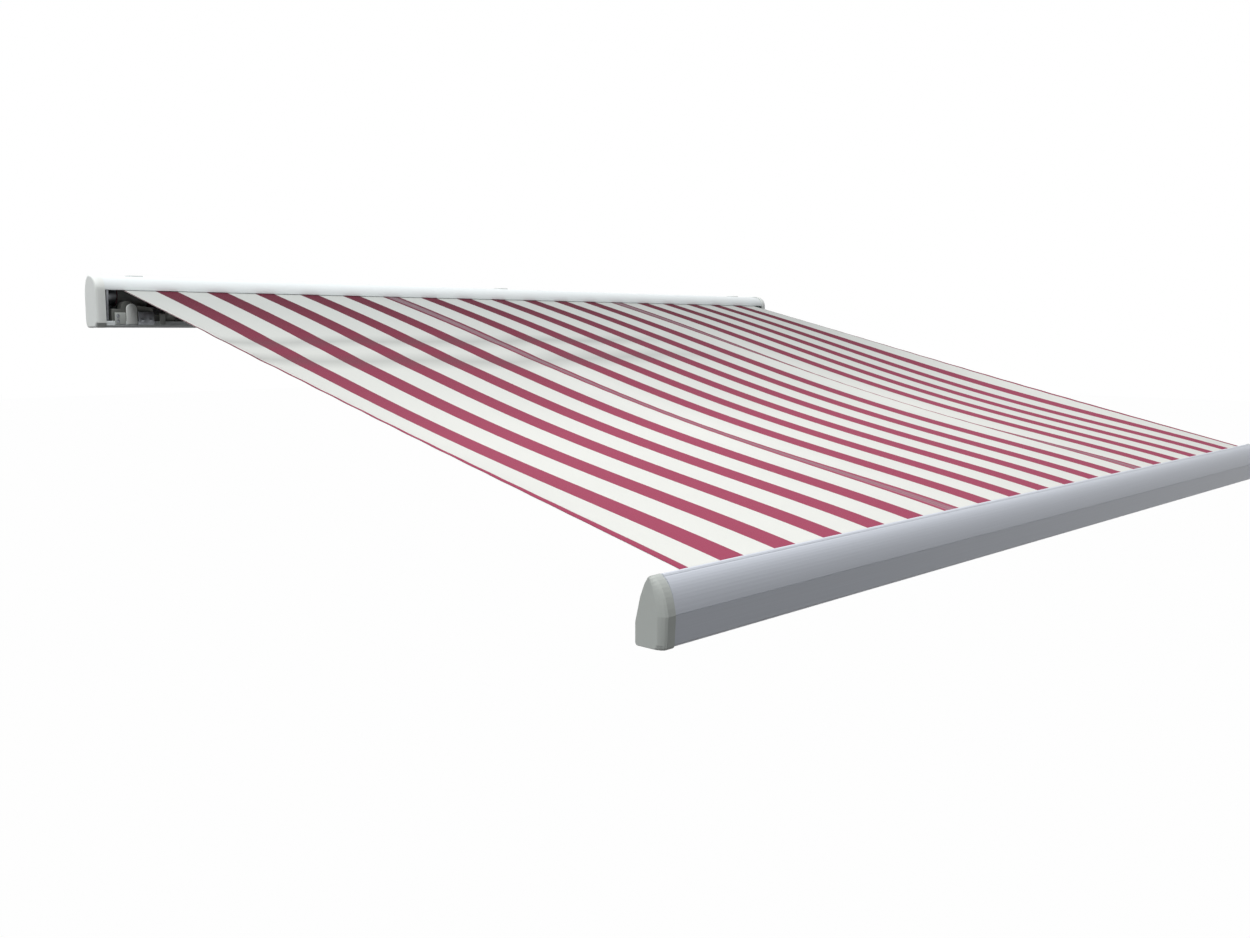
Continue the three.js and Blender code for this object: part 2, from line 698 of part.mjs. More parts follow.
function shoulderConsole(side) {
  const base = -halfHeight + wall + seatGap;
  const spine = alongY(consoleProfile(side), mouthY + consoleFront, mouthY + consoleFront + consoleWidth);
  const ends = [side * (shoulderX - 26), side * (shoulderX + 227)].sort((a, b) => a - b);
  const foot = alongZ(rectangle(ends[0], mouthY + consoleFront, ends[1], recessY - 2), base, base + 7);
  const [rootLeft, rootRight] = [side * (shoulderX + 26), side * (shoulderX + 50)].sort((a, b) => a - b);
  const root = alongZ(rectangle(rootLeft, mouthY + consoleFront, rootRight, shoulder.y + 18), base,
    shoulder.z + forkInner);
  const lug = (from, to) => atShoulder(alongZ(lugShape(shoulderBarrel + 2, 50, side), from, to), side);
  const [cheekLeft, cheekRight] = [side * 26, side * 50].sort((a, b) => a - b);
  const rest = atShoulder(alongZ(rectangle(cheekLeft, -19, cheekRight, 19), -forkOuter, forkOuter), side);
  const bore = atShoulder(alongZ(disc(pinRadius + seatGap), -forkOuter - 2, forkOuter + 2), side);
  const screwHole = alongZ(disc(5, side * (shoulderX + 38), shoulder.y), -halfHeight, base + 8);
  const solid = join(spine, foot, root, lug(forkInner, forkOuter), lug(-forkOuter, -forkInner), rest);
  return cut(solid, bore, screwHole);
}

function pivotPin(reach, headRadius) {
  const shank = alongZ(disc(pinRadius), -reach - 2, reach + 2);
  const head = alongZ(disc(headRadius), reach + seatGap, reach + 2.5);
  const clip = alongZ(disc(headRadius - 1), -reach - 2, -reach - seatGap);
  return join(shank, head, clip);
}

for (const [name, side] of sides) {
  piece(`shoulder_console_${name}`, shoulderConsole(side), castGrey());
  const pin = piece(`shoulder_pin_${name}`, pivotPin(forkOuter, pinRadius + 3), steel());
  pin.position.set(side * shoulderX, shoulder.y, shoulder.z);
  pin.rotation.x = armPitch;
}

// Arms: each has an extruded oval tube with a pivot casting at its outer end and an elbow casting at
// the other. The elbow pin sits beside the tube's centre line, so that the folded tubes lie side by side.
function armTube(width, height) {
  const outer = rounded(width, height, width / 2 - 3);
  outer.holes.push(rounded(width - 2 * armWall, height - 2 * armWall, width / 2 - 3 - armWall));
  const from = knuckleBlockStart + knuckleBlockLength;
  return alongX(outer, from + seatGap, armBodyLength - from - seatGap);
}

function spigot(width, height, start, end) {
  const inside = 2 * (armWall + seatGap);
  return alongX(rounded(width - inside, height - inside, width / 2 - 3 - armWall - seatGap), start, end);
}

function pivotKnuckle(width, height, barrel) {
  const half = barrel - 3;
  const block = alongX(rounded(width, height, width / 2 - 3), knuckleBlockStart,
    knuckleBlockStart + knuckleBlockLength);
  const eye = alongZ(lugShape(barrel, knuckleBlockStart + 4, 1), -half, half);
  const end = knuckleBlockStart + knuckleBlockLength;
  const plug = spigot(width, height, end - 1, end + spigotLength);
  const bore = alongZ(disc(pinRadius + runningGap), -half - 1, half + 1);
  return cut(join(block, eye, plug), bore);
}

function elbowEar(width, pinSide) {
  const start = armBodyLength - knuckleBlockStart - 6;
  const y = pinSide * elbowOffset;
  const farSide = -pinSide * (width / 2);
  const farX = start + earShoulder - armBodyLength;
  const tangent = Math.acos(elbowBarrel / Math.hypot(farX, farSide - y));
  const from = Math.atan2(farSide - y, farX) + pinSide * tangent;
  const step = pinSide * (width / 2) - y;
  const to = Math.atan2(step, -Math.sqrt(elbowBarrel ** 2 - step ** 2));
  const shape = new THREE.Shape();
  shape.moveTo(start, farSide);
  shape.lineTo(start + earShoulder, farSide);
  shape.absarc(armBodyLength, y, elbowBarrel, from, to, pinSide < 0);
  shape.lineTo(start, pinSide * (width / 2));
  return shape;
}

function elbowBlock(width, height) {
  const end = armBodyLength - knuckleBlockStart + 6;
  const start = armBodyLength - knuckleBlockStart - knuckleBlockLength;
  return join(
    alongX(rounded(width, height, width / 2 - 3), start, end),
    spigot(width, height, start - spigotLength, start + 1),
  );
}

function elbowFork(pinSide) {
  const inner = tongueHeight / 2 + runningGap;
  const ear = elbowEar(upperWidth, pinSide);
  const block = elbowBlock(upperWidth, upperHeight);
  const top = alongZ(ear, inner, upperHeight / 2 - 1);
  const bottom = alongZ(ear, -upperHeight / 2 + 1, -inner);
  const bore = alongZ(disc(pinRadius + seatGap, armBodyLength, pinSide * elbowOffset), -upperHeight, upperHeight);
  return cut(join(block, top, bottom), bore);
}

function elbowTongue(pinSide) {
  const block = elbowBlock(forearmWidth, forearmHeight);
  const ear = alongZ(elbowEar(forearmWidth, pinSide), -tongueHeight / 2, tongueHeight / 2);
  const bore = alongZ(disc(pinRadius + runningGap, armBodyLength, pinSide * elbowOffset), -upperHeight, upperHeight);
  return cut(join(block, ear), bore);
}

function elbowPin(pinSide) {
  const reach = upperHeight / 2 - 3;
  const pin = pivotPin(reach - 2, pinRadius);
  return pin.translate(armBodyLength, pinSide * elbowOffset, 0);
}

function armSpring() {
  const start = knuckleBlockStart + knuckleBlockLength + spigotLength + seatGap;
  const profile = [new THREE.Vector2(0, 0), new THREE.Vector2(3, 0), new THREE.Vector2(3, 30)];
  const pitch = springLength / springRidges;
  for (let ridge = 0; ridge < springRidges; ridge += 1) {
    profile.push(new THREE.Vector2(springRadius - 2, 30 + pitch * ridge));
    profile.push(new THREE.Vector2(springRadius, 30 + pitch * (ridge + 0.5)));
  }
  profile.push(new THREE.Vector2(springRadius - 2, 30 + springLength));
  const end = armBodyLength - knuckleBlockStart - knuckleBlockLength - spigotLength - start - seatGap;
  profile.push(new THREE.Vector2(3, 30 + springLength), new THREE.Vector2(3, end), new THREE.Vector2(0, end));
  return new THREE.LatheGeometry(profile, 8).rotateZ(-Math.PI / 2).translate(start, 0, 0);
}

// Front brackets: a fork inside the bar that holds the forearm's pin
function frontBracket() {
  const half = frontBarrel - 3 + seatGap;
  const outer = half + lugThickness;
  const lug = (from, to) => {
    const shape = new THREE.Shape();
    shape.moveTo(-frontBarrel, -30);
    shape.lineTo(frontBarrel, -30);
    shape.absarc(0, 0, frontBarrel, 0, Math.PI, false);
    return alongZ(shape, from, to).applyMatrix4(armTilt);
  };
  const stop = -barFront + 5 - frontPivotBack;
  const base = alongY(rounded(2 * frontBarrel + 34, 42, 4), stop, stop + 3.2).translate(0, 0, -2);
  const room = alongX(rectangle(stop, -40, 40, 40), -40, 40);
  const lugs = common(join(lug(half, outer), lug(-outer, -half)), room);
  const bore = alongZ(disc(pinRadius + seatGap), -outer - 2, outer + 2).applyMatrix4(armTilt);
  return cut(join(base, lugs), bore);
}

function foldingArm(name, side) {
  const plane = new THREE.Group();
  plane.position.set(side * shoulderX, shoulder.y, shoulder.z);
  plane.rotation.x = armPitch;
  awning.add(plane);
  const outward = -90 * radians;
  const lean = -side * restAngle * radians;
  const pinSide = side;

  const upper = new THREE.Group();
  upper.rotation.z = outward + lean - side * armSkew;
  plane.add(upper);
  piece(`shoulder_knuckle_${name}`, pivotKnuckle(upperWidth, upperHeight, shoulderBarrel), castGrey(), upper);
  piece(`upper_arm_${name}`, armTube(upperWidth, upperHeight), whitePaint(), upper);
  piece(`arm_spring_${name}`, armSpring(), steel(), upper);
  piece(`elbow_fork_${name}`, elbowFork(pinSide), castGrey(), upper);
  piece(`elbow_pin_${name}`, elbowPin(pinSide), steel(), upper);

  const fore = new THREE.Group();
  fore.position.set(0, -armSpan, 0);
  fore.rotation.z = -outward - lean + side * armSkew;
  plane.add(fore);
  piece(`front_knuckle_${name}`, pivotKnuckle(forearmWidth, forearmHeight, frontBarrel), castGrey(), fore);
  piece(`forearm_${name}`, armTube(forearmWidth, forearmHeight), whitePaint(), fore);
  piece(`elbow_tongue_${name}`, elbowTongue(-pinSide), castGrey(), fore);
}

for (const [name, side] of sides) foldingArm(name, side);

// Front bar: an open backed extrusion with a round head that holds the cloth's rod
function barSection() {
  const half = wall / 2;
  const front = -barFront + half;
  const bow = new THREE.QuadraticBezierCurve(
    new THREE.Vector2(-8, 3), new THREE.Vector2(front + 6, -8), new THREE.Vector2(front, -barCrease),
  ).getPoints(12).map((p) => [p.x, p.y]);
  const foot = 4 - barHeight + half;
  const path = [
    ...bow,
    [front + 4, foot + 8],
    ...arcPoints(front + 11, foot + 7, 7, 7, 190, 270, 4),
    ...arcPoints(barBack - half - 6, foot + 6, 6, 6, 270, 360, 4),
    [barBack - half, -barMouthBottom],
  ];
  return path;
}

function frontBar() {
  const end = barHalf - barCapWrap;
  const shell = alongX(ribbon(barSection(), wall), -end, end);
  const flange = alongX(ribbon([[-4, -4], [2, -7], [10, -barMouthTop]], wall), -end, end);
  const g = [grooveCentre.x - barEdge.y, grooveCentre.y - barEdge.z];
  const head = alongX(disc(headRadius - 0.2, ...g), -end, end);
  const floor = 4 - barHeight + wall / 2;
  const rib = alongX(ribbon([[-6, floor], [-6, floor + 9], [-1, floor + 9]], wall * 0.8), -end, end);
  const channel = alongX(disc(rodRadius + 0.6, ...g), -end - 1, end + 1);
  const slot = alongX(rectangle(0, -1.2, headRadius + 4, 1.2), -end - 1, end + 1)
    .applyMatrix4(new THREE.Matrix4().makeRotationX(clothPitch)).translate(0, ...g);
  const crease = alongX(outline([[-barFront - 2, -barCrease + 1.6], [-barFront + 1, -barCrease],
    [-barFront - 2, -barCrease - 1.6]]), -end - 1, end + 1);
  return cut(join(shell, flange, head, rib), channel, slot, crease);
}

function barCapOutline(inset, frontInset) {
  const proud = 1.2;
  const front = -barFront - proud + frontInset;
  const back = barBack + proud - inset;
  const top = 4 + proud - inset;
  const bottom = 4 - barHeight - proud + inset;
  const bow = new THREE.QuadraticBezierCurve(
    new THREE.Vector2(-4, top), new THREE.Vector2(front + 8, -8 - frontInset * 0.5),
    new THREE.Vector2(front, -barCrease),
  ).getPoints(9).map((p) => [p.x, p.y]);
  return [
    ...bow,
    [front + 3 - frontInset * 0.15, bottom + 9],
    ...arcPoints(front + 10, bottom + 7, 7, 7, 190, 270, 4),
    ...arcPoints(back - 6, bottom + 6, 6, 6, 270, 360, 4),
    [back, -82],
    [back - 3, -70],
    [back - 12, -34],
    [back - 22, -10],
    [-1 - inset, top - 1],
  ];
}

const barCapStations = [[0, 0, 0], [0.62, 0, 0], [0.76, 0.2, 3], [0.9, 0.8, 9], [0.98, 1.4, 14], [1, 2.4, 16]];

function barCap(side) {
  const inner = barHalf - barCapWrap + seatGap;
  const stations = barCapStations.map(([share, inset, frontInset]) => (
    { x: side * (inner + (barHalf - inner) * share), points: barCapOutline(inset, frontInset) }));
  const hollow = [-1, barCapWrap * 0.6].map((depth, i) => (
    { x: side * (inner + depth), points: barCapOutline(3.6, i === 0 ? 3.6 : 5) }));
  return cut(loft(stations), loft(hollow));
}

const bar = new THREE.Group();
bar.position.copy(barEdge);
awning.add(bar);
piece('front_bar', frontBar(), silver(), bar);
piece('front_keder_rod', alongX(disc(rodRadius, grooveCentre.x - barEdge.y, grooveCentre.y - barEdge.z),
  -fabricWidth / 2, fabricWidth / 2), darkPlastic(), bar);

for (const [name, side] of sides) {
  piece(`front_bar_cap_${name}`, barCap(side), greyPlastic(), bar);
  const bracket = piece(`front_bracket_${name}`, frontBracket(), castGrey(), bar);
  bracket.position.set(side * shoulderX, frontPivotBack, -frontPivotDrop);
  const pin = piece(`front_pin_${name}`, pivotPin(frontBarrel - 3 + seatGap + lugThickness, pinRadius + 2),
    steel(), bar);
  pin.position.copy(bracket.position);
  pin.rotation.x = armPitch;
}

export default awning;
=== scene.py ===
"""Folding arm awning in a full cassette: its finishes, its cloth and its fine parts.

Metres. X runs along the wall, +Y points into the wall and +Z is up.
"""

import json
import math

import bpy
import numpy as np
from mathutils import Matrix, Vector


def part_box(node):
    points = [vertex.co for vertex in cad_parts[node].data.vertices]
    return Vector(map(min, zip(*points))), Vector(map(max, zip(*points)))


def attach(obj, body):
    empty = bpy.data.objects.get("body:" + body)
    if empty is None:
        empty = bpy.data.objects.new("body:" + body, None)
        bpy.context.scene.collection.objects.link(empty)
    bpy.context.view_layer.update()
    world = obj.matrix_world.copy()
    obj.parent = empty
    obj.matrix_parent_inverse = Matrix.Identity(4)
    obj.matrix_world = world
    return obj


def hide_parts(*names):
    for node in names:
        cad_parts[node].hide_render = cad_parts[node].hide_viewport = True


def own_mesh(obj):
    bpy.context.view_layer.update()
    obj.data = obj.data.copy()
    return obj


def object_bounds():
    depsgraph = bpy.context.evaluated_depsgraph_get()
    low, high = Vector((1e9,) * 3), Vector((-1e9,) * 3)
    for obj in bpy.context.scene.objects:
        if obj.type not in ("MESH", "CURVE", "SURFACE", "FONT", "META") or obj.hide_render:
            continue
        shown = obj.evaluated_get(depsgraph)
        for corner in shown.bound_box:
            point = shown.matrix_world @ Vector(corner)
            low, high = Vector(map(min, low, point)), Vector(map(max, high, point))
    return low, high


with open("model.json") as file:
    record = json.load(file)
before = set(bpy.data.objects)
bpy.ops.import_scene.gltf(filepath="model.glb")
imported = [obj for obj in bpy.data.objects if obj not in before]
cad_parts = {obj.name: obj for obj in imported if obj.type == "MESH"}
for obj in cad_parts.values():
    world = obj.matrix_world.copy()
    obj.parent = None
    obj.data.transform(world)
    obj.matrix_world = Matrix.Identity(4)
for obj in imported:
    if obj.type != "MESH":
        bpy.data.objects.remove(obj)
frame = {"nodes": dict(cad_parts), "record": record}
cad_low, cad_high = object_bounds()

# Photograph's view: the camera is solved from the edges of the cloth, the hood and the bar
PHOTO_WIDTH = 1250
FOCAL_PIXELS = 1188.4
SENSOR = 36.0
CAMERA_AT = Vector((-3.222, -3.811, -0.090))
CAMERA_YAW = math.radians(43.45)
CAMERA_PITCH = math.radians(-6.62)

# Cloth pattern
STRIPES = 18
PANEL_WIDTH = 1.2
PANEL_STRIPES = 7
STRIPE_PITCH = PANEL_WIDTH / PANEL_STRIPES
RED_WIDTH = 0.072
SEAM_STRIPES = (5, 12)
CUT_MAP = "cut"
# Widths of the red sliver at each side edge, near the hood and at the bar
EDGE_RED = (0.002, 0.019)
EDGE_RED_FROM = 0.3
# Place from the roll and half width of each cross band, painted shadow on the cloth over a shallow hollow
# in it
HOLLOW_AND_SHADOW_BANDS = ((0.68, 0.07), (0.89, 0.09))
BAND_SHADOW_STRENGTH = 0.26
BAND_SHADOW_FADE = (-0.1, 0.5)
BAND_SHADOW_WANDER = 0.16
# Ways down from the roll over which the painted shade near the hood fades to the lit colours
HOOD_SHADE_BETWEEN = (0.2, 1.6)

# Cloth make
CLOTH_THICKNESS = 0.0006
SEAM_OVERLAP = 0.016
SEAM_SHADOW_LINE = 0.0022
HEM_WIDTH = 0.022
HEM_DROP = CLOTH_THICKNESS * 1.1
STITCH_INSET = 0.003
STITCH_WIDTH = 0.0009
STITCH_PITCH = 0.0042
STITCH_SHARE = 0.72
SOFT_LINE_CORE = 0.4

# Cloth shape
SAG_DEPTH = 0.034
SAG_PEAK_SHIFT = 1.3
SAG_SHARPNESS = 1.5
HEM_REACH = 0.12
HEM_TIGHTNESS = 0.85
SEAM_PUCKERS = (0.0052, 0.0075)
EDGE_SPREAD = 0.014
SEAM_RIPPLE = 0.0006
SEAM_RIPPLE_REACH = 0.035
HEM_RIPPLE = 0.0005
HEM_RIPPLE_REACH = 0.05
BAND_HOLLOW_DEPTH = 0.0016
BAND_HOLLOW_END = 0.3
ROLL_GAP = 0.0009
ROD_GAP = 0.0033

# Cloth mesh
CLOTH_ROWS = 150
COLUMN_STEP = 0.017
HEM_COLUMNS = (0.0, 0.3, 0.7, 1.0)
SNAP = 0.0001

# Fine parts in the cassette's mouth, measured inward from the console's outer end and up from its rim
CONSOLE_RIM = 0.0075
COVER_FRONT = 0.0035
BLOCK_FRONT = COVER_FRONT * 0.8
COVER_AT = 0.057
COVER_HALF_WIDTH = 0.0175
COVER_HEIGHT = 0.064
COVER_EDGE = 0.0016
BLOCK_EDGE = 0.0012
# Name, start, end, height and slot
BLOCKS = (
    ("step", 0.004, 0.038, 0.036, "grey_plastic"),
    ("clamp", 0.078, 0.128, 0.040, "steel"),
    ("stop", 0.146, 0.164, 0.034, "grey_plastic"),
)
SCREW_PLACES = ((0.013, 0.010), (0.013, 0.026), (0.090, 0.014), (0.116, 0.014))
SCREW_RADIUS = 0.004
SCREW_HEIGHT = 0.0030
SCREW_EDGE = 0.0003
FLANGE_SPREAD = 1.35
FLANGE_HEIGHT = 0.0009
FLANGE_SIDES = 24
SCREW_TURN = 0.2

# Shading of edges
FRAME_SHARP = math.radians(28)
FINE_SHARP = math.radians(30)
BEVEL_FROM = math.radians(35)

# Light and stage
# Height of the direction along the bright side, from -1 to 1, and brightness there
AMBIENT_STOPS = ((-1, 0.03), (-0.05, 0.04), (0.12, 0.2), (0.5, 0.85), (1, 1.2))
AMBIENT_TINT = (0.97, 0.99, 1.0)
BRIGHT_SIDE = (-0.45, 0.45, 1)
KEY_AT = (-2.6, -2.5, 4.4)
KEY_TOWARD = (-0.2, -1.3, -0.3)
KEY_SIZE = 2.2
KEY_POWER = 144
WHITE = (1, 1, 1, 1)
FLOOR_DROP = 2.5
FLOOR_REACH = 40
FLOOR_WHITE = 0.99
FLOOR_COLOR = (0.04, 0.04, 0.04, 1)
FLOOR_ROUGHNESS = 0.9

# Range that most values of a noise texture lie in
NOISE_LOW = 0.3
NOISE_HIGH = 0.7


def srgb(red, green, blue):
    """A colour given as 0 to 255 screen values, as linear light."""
    values = [c / 255 for c in (red, green, blue)]
    return [c / 12.92 if c <= 0.04045 else ((c + 0.055) / 1.055) ** 2.4 for c in values] + [1.0]


# Nodes
class Shader:
    """A Principled material and the few node steps that the finishes below are made of."""

    def __init__(self, name):
        self.material = bpy.data.materials.new(name)
        self.material.use_nodes = True
        self.tree = self.material.node_tree
        self.main = self.tree.nodes["Principled BSDF"]
        self.places = None

    def set(self, **values):
        for name, value in values.items():
            self.main.inputs[name.replace("_", " ")].default_value = value
        return self

    def link(self, source, target):
        self.tree.links.new(source, target)

    def node(self, kind, **settings):
        made = self.tree.nodes.new(kind)
        for name, value in settings.items():
            setattr(made, name, value)
        return made

    def where(self):
        """The point on the object, in metres."""
        if self.places is None:
            self.places = self.node("ShaderNodeTexCoord").outputs["Object"]
        return self.places

    def math(self, operation, a, b=0.0):
        made = self.node("ShaderNodeMath", operation=operation)
        for socket, value in zip(made.inputs, (a, b)):
            if isinstance(value, (int, float)):
                socket.default_value = value
            else:
                self.link(value, socket)
        return made.outputs[0]

    def split(self, vector):
        made = self.node("ShaderNodeSeparateXYZ")
        self.link(vector, made.inputs[0])
        return made.outputs

    def scaled(self, vector, scale):
        made = self.node("ShaderNodeMapping")
        made.inputs["Scale"].default_value = scale
        self.link(vector, made.inputs["Vector"])
        return made.outputs[0]

    def noise(self, scale, detail=2.0, stretch=(1, 1, 1), source=None):
        made = self.node("ShaderNodeTexNoise")
        made.inputs["Scale"].default_value = scale
        made.inputs["Detail"].default_value = detail
        self.link(self.scaled(source or self.where(), stretch), made.inputs["Vector"])
        return made.outputs["Fac"]

    def ramp(self, value, low, high, out_low=0.0, out_high=1.0):
        made = self.node("ShaderNodeMapRange")
        made.inputs["From Min"].default_value = low
        made.inputs["From Max"].default_value = high
        made.inputs["To Min"].default_value = out_low
        made.inputs["To Max"].default_value = out_high
        self.link(value, made.inputs["Value"])
        return made.outputs["Result"]

    def blend(self, factor, first, second, mode="MIX"):
        """A mix of two colours, each a socket or four numbers."""
        made = self.node("ShaderNodeMix", data_type="RGBA", blend_type=mode)
        for index, value in ((0, factor), (6, first), (7, second)):
            if isinstance(value, (int, float, list, tuple)):
                made.inputs[index].default_value = value
            else:
                self.link(value, made.inputs[index])
        return made.outputs[2]

    def bump(self, height, distance, strength=1.0):
        """Relief on top of any relief that the material has already."""
        made = self.node("ShaderNodeBump")
        made.inputs["Strength"].default_value = strength
        made.inputs["Distance"].default_value = distance
        self.link(height, made.inputs["Height"])
        if self.main.inputs["Normal"].is_linked:
            self.link(self.main.inputs["Normal"].links[0].from_socket, made.inputs["Normal"])
        self.link(made.outputs["Normal"], self.main.inputs["Normal"])
        return self

    def tint(self, color, factor=None, spread=0.05, scale=3.0):
        """The surface's colour, a little lighter and darker from place to place."""
        light = [min(1, c * (1 + spread)) for c in color[:3]] + [1]
        dark = [c * (1 - spread) for c in color[:3]] + [1]
        source = self.noise(scale, 3.0) if factor is None else factor
        varied = self.blend(self.ramp(source, NOISE_LOW, NOISE_HIGH), dark, light)
        self.link(varied, self.main.inputs["Base Color"])
        return self

    def gloss(self, low, high, scale=1.0, factor=None):
        """Roughness that varies between two values."""
        source = self.noise(scale, 3.0) if factor is None else factor
        self.link(self.ramp(source, NOISE_LOW, NOISE_HIGH, low, high), self.main.inputs["Roughness"])
        return self


# Finishes
def white_paint():
    """Powder coat: white, with a fine orange peel."""
    s = Shader("white_paint").set(Specular_IOR_Level=0.5)
    s.tint(srgb(241, 246, 247), spread=0.012, scale=1.5)
    s.gloss(0.28, 0.36, scale=30)
    return s.bump(s.noise(900), distance=0.00004).material


def white_plastic():
    s = Shader("white_plastic").set(Specular_IOR_Level=0.45)
    s.tint(srgb(243, 246, 243), spread=0.02, scale=6)
    s.gloss(0.38, 0.48, scale=60)
    return s.bump(s.noise(1600), distance=0.00005).material


def silver():
    """Silver coat on an extrusion, with faint drawing lines along its length."""
    s = Shader("silver").set(Metallic=0.08, Specular_IOR_Level=0.2)
    lines = s.noise(700, 3.0, stretch=(0.004, 1, 1))
    s.tint(srgb(212, 216, 225), factor=lines, spread=0.03)
    s.gloss(0.3, 0.38, factor=lines)
    return s.bump(lines, distance=0.00002, strength=0.25).material


def grey_plastic():
    s = Shader("grey_plastic").set(Metallic=0.05, Specular_IOR_Level=0.3)
    s.tint(srgb(192, 196, 192), spread=0.03, scale=8)
    s.gloss(0.5, 0.6, scale=80)
    return s.bump(s.noise(1400, 3.0), distance=0.00008).material


def cast_aluminium():
    """Sand blasted casting."""
    s = Shader("cast_aluminium").set(Metallic=0.6)
    s.tint(srgb(190, 192, 190), spread=0.08, scale=40)
    s.gloss(0.45, 0.62, scale=120)
    return s.bump(s.noise(700, 4.0), distance=0.00025).material


def steel():
    """Galvanised steel with its faint crystal pattern."""
    s = Shader("steel").set(Metallic=0.85)
    cells = s.node("ShaderNodeTexVoronoi")
    cells.inputs["Scale"].default_value = 90
    s.link(s.where(), cells.inputs["Vector"])
    s.tint(srgb(150, 153, 158), factor=s.split(cells.outputs["Color"])[0], spread=0.09)
    s.gloss(0.3, 0.46, scale=60)
    return s.bump(s.noise(500, 3.0), distance=0.00006).material


def dark_plastic():
    s = Shader("dark_plastic").set(Specular_IOR_Level=0.4)
    s.tint(srgb(42, 44, 47), spread=0.08, scale=30)
    s.gloss(0.48, 0.6, scale=80)
    return s.bump(s.noise(1500, 3.0), distance=0.00008).material


def bracket_paint():
    """The wall brackets' coat, a shade greyer than the housing."""
    s = Shader("bracket_paint").set(Specular_IOR_Level=0.45)
    s.tint(srgb(206, 210, 208), spread=0.03, scale=12)
    s.gloss(0.4, 0.5, scale=60)
    return s.bump(s.noise(700), distance=0.00006).material


def casting_in_painted_shade():
    """The consoles' casting inside the cassette, dull and a little dusty, its grey darkened with painted
    shade for the cassette's dim inside.
    """
    s = Shader("casting_in_painted_shade").set(Metallic=0.5)
    dust = s.noise(22, 4.0)
    # Painted shade: the casting's colour darker than the cast aluminium
    s.tint(srgb(122, 124, 120), factor=dust, spread=0.16)
    s.gloss(0.5, 0.7, scale=90)
    return s.bump(s.noise(600, 4.0), distance=0.0003).material


# Masks on the cloth, by the place across it and the way down from the roll
def away_from(s, place, target):
    return s.math("ABSOLUTE", s.math("SUBTRACT", place, target))


def soft_line(s, away, width):
    """1 within the core of a line and 0 beyond its width."""
    return s.ramp(away, width * SOFT_LINE_CORE, width, 1.0, 0.0)


def stripe_mask(s, flat):
    """1 on the red stripes and 0 on the white, by the place across the cloth."""
    across = s.split(flat)[0]
    first = -((STRIPES - 1) * STRIPE_PITCH + RED_WIDTH) / 2
    inside = s.math("SUBTRACT", across, first)
    repeat = s.math("FLOORED_MODULO", inside, STRIPE_PITCH)
    return s.math("LESS_THAN", repeat, RED_WIDTH)


def painted_shadow_bands(s, flat):
    """Soft cross bands of painted shadow on the cloth, 1 at their middles."""
    across, down = s.split(flat)[:2]
    centred = s.math("SUBTRACT", s.noise(1.6, 1.0, source=flat), 0.5)
    place = s.math("ADD", down, s.math("MULTIPLY", centred, BAND_SHADOW_WANDER))
    bands = 0.0
    for middle_at, half in HOLLOW_AND_SHADOW_BANDS:
        band = s.ramp(away_from(s, place, middle_at), 0.0, half, 1.0, 0.0)
        bands = s.math("MAXIMUM", bands, band)
    return s.math("MULTIPLY", bands, s.ramp(across, *BAND_SHADOW_FADE, 1.0, 0.0))


def stitch_mask(s, flat):
    """1 on the stitches beside the hems and along both edges of each seam."""
    across, down = s.split(flat)[:2]
    rows = [side * (cloth_half_width() - HEM_WIDTH + STITCH_INSET) for side in (-1, 1)]
    for stripe in SEAM_STRIPES:
        for side in (-1, 1):
            rows.append(seam_middle(stripe) + side * (SEAM_OVERLAP / 2 - STITCH_INSET))
    on_row = 0.0
    for row in rows:
        on_row = s.math("MAXIMUM", on_row, soft_line(s, away_from(s, across, row), STITCH_WIDTH))
    beat = s.math("FLOORED_MODULO", down, STITCH_PITCH)
    return s.math("MULTIPLY", on_row, s.math("LESS_THAN", beat, STITCH_PITCH * STITCH_SHARE))


def seam_masks(s, flat):
    """1 on and just beside each seam, and 1 on the painted shadow line along each edge of its overlap."""
    across = s.split(flat)[0]
    doubled, line = 0.0, 0.0
    for stripe in SEAM_STRIPES:
        away = away_from(s, across, seam_middle(stripe))
        doubled = s.math("MAXIMUM", doubled, s.ramp(away, SEAM_OVERLAP, SEAM_OVERLAP * 1.6, 1.0, 0.0))
        line = s.math("MAXIMUM", line, soft_line(s, away_from(s, away, SEAM_OVERLAP / 2), SEAM_SHADOW_LINE))
    return doubled, line


def edge_mask(s, flat):
    """1 on the sliver of the next red stripe at each side edge, which widens toward the bar."""
    across, down = s.split(flat)[:2]
    low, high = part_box("fabric")
    width = s.ramp(down, EDGE_RED_FROM, high.y - low.y, *EDGE_RED)
    inner = s.math("SUBTRACT", high.x, width)
    return s.math("GREATER_THAN", s.math("ABSOLUTE", across), inner)


def weave(s, flat):
    """The relief of warp and weft."""
    warp = s.node("ShaderNodeTexWave", wave_type="BANDS", bands_direction="X")
    weft = s.node("ShaderNodeTexWave", wave_type="BANDS", bands_direction="Y")
    for wave in (warp, weft):
        wave.inputs["Scale"].default_value = 330
        wave.inputs["Distortion"].default_value = 0.6
        s.link(flat, wave.inputs["Vector"])
    s.bump(s.math("ADD", warp.outputs["Fac"], weft.outputs["Fac"]), distance=0.00012, strength=0.6)


def yarn(s, flat, color):
    """The cloth's colour with faint clouds and single darker threads."""
    cloud = s.ramp(s.noise(2.2, 3.0, source=flat), 0.35, 0.65, 0.97, 1.0)
    grey = s.node("ShaderNodeCombineColor")
    for socket in grey.inputs:
        s.link(cloud, socket)
    color = s.blend(1.0, color, grey.outputs[0], "MULTIPLY")
    thread = s.noise(1500, 2.0, stretch=(1, 0.12, 1), source=flat)
    return s.blend(s.ramp(thread, NOISE_LOW, NOISE_HIGH, 0.0, 0.05), color, srgb(105, 80, 88))


def cloth_shader(name):
    return Shader(name).set(Roughness=0.92, Specular_IOR_Level=0.12, Sheen_Weight=0.06, Sheen_Roughness=0.5)


